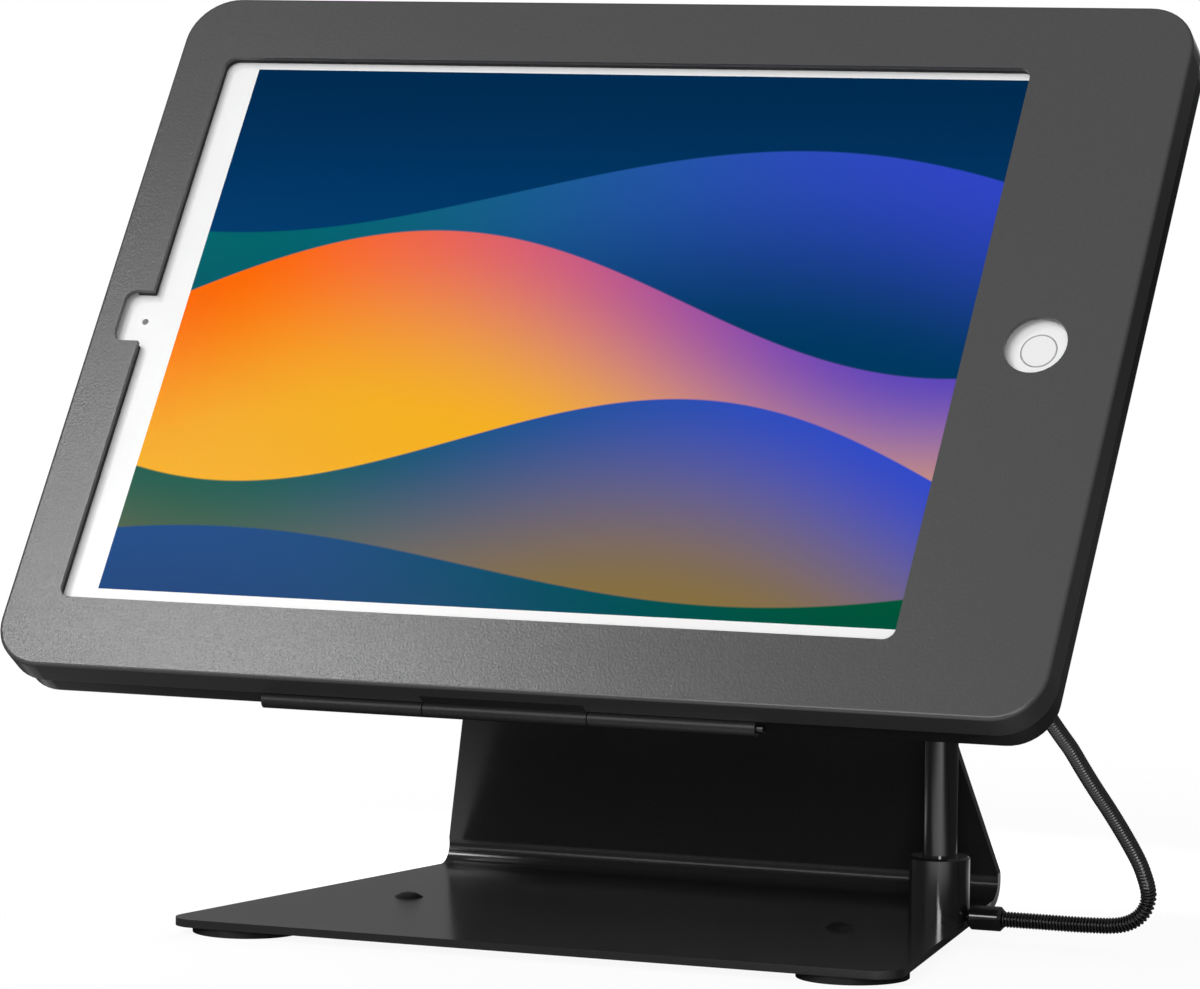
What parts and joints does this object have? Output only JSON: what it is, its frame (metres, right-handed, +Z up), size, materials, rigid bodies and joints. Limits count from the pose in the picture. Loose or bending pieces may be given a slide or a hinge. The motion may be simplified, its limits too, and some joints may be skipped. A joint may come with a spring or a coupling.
{
  "type": "tablet_kiosk_stand",
  "caption": "Locking tablet kiosk on a bent-steel stand: hinged front cover, rear tray, support post and a ribbed tether, for a counter top",
  "frame": {"origin": "Under the middle of the enclosure's width, midway between the cover's lower front edge and the rear fold, on the plane of the feet's undersides.", "axes": "+X is the viewer's right, +Y points away from the viewer and +Z is up."},
  "size_m": [0.276, 0.146, 0.2323],
  "materials": {
    "black_powder": "satin black powder coat",
    "gloss_black": "gloss black enamel",
    "graphite_powder": "fine-grained graphite powder coat",
    "foot_rubber": "matt black rubber",
    "plug_plastic": "black moulded plastic",
    "dark_steel": "blackened steel",
    "bright_steel": "zinc-plated steel",
    "tether_black": "black coated ribbed steel hose",
    "foam": "black closed-cell foam",
    "tablet_metal": "fine-blasted aluminium",
    "white_face": "glossy white tablet face",
    "display": "lit display behind glass",
    "lens": "dark camera lens",
    "lock_chrome": "nickel-plated lock body"
  },
  "bodies": {
    "stand": {"stand_bracket": "black_powder", "rubber_feet": "foot_rubber", "anchor_hole_plugs": "plug_plastic", "support_post": "gloss_black", "post_collar": "gloss_black", "collar_set_screw": "dark_steel", "post_socket": "gloss_black", "lower_ferrule": "gloss_black", "tether_conduit": "tether_black", "upper_gland": "gloss_black", "gland_nut": "bright_steel", "rear_shell": "black_powder", "flange_screws": "dark_steel", "clinch_nuts": "bright_steel", "tablet_pads": "foam", "tablet_stops": "foam", "hinge_rear_leaf": "black_powder", "hinge_rivets": "dark_steel", "hinge_pin": "dark_steel", "tablet_shell": "tablet_metal", "tablet_glass": "white_face", "display_panel": "display", "camera_lens": "lens", "lock_housing": "lock_chrome", "lock_nut": "bright_steel"},
    "front_door": {"front_cover": "graphite_powder", "front_gasket": "foam", "hinge_front_leaf": "black_powder", "lock_keeper": "bright_steel"},
    "lock": {"lock_cylinder": "lock_chrome", "lock_cam": "bright_steel", "cam_screw": "bright_steel"},
    "home_button": {"home_button": "white_face"}
  },
  "joints": [
    {"name": "cover_hinge", "type": "hinge", "parent": "stand", "child": "front_door", "pos_m": [0, -0.06551, 0.0613], "axis": [1, 0, 0], "range_deg": [0, 120]},
    {"name": "lock_turn", "type": "hinge", "parent": "stand", "child": "lock", "pos_m": [0.1294, 0.021, 0.19945], "axis": [0, -0.8241, 0.5664], "range_deg": [0, 90]},
    {"name": "button_press", "type": "slide", "parent": "stand", "child": "home_button", "axis": [0, 0.8241, -0.5664], "range_m": [0, 0.0004], "stiffness_N_per_m": 1500}
  ]
}
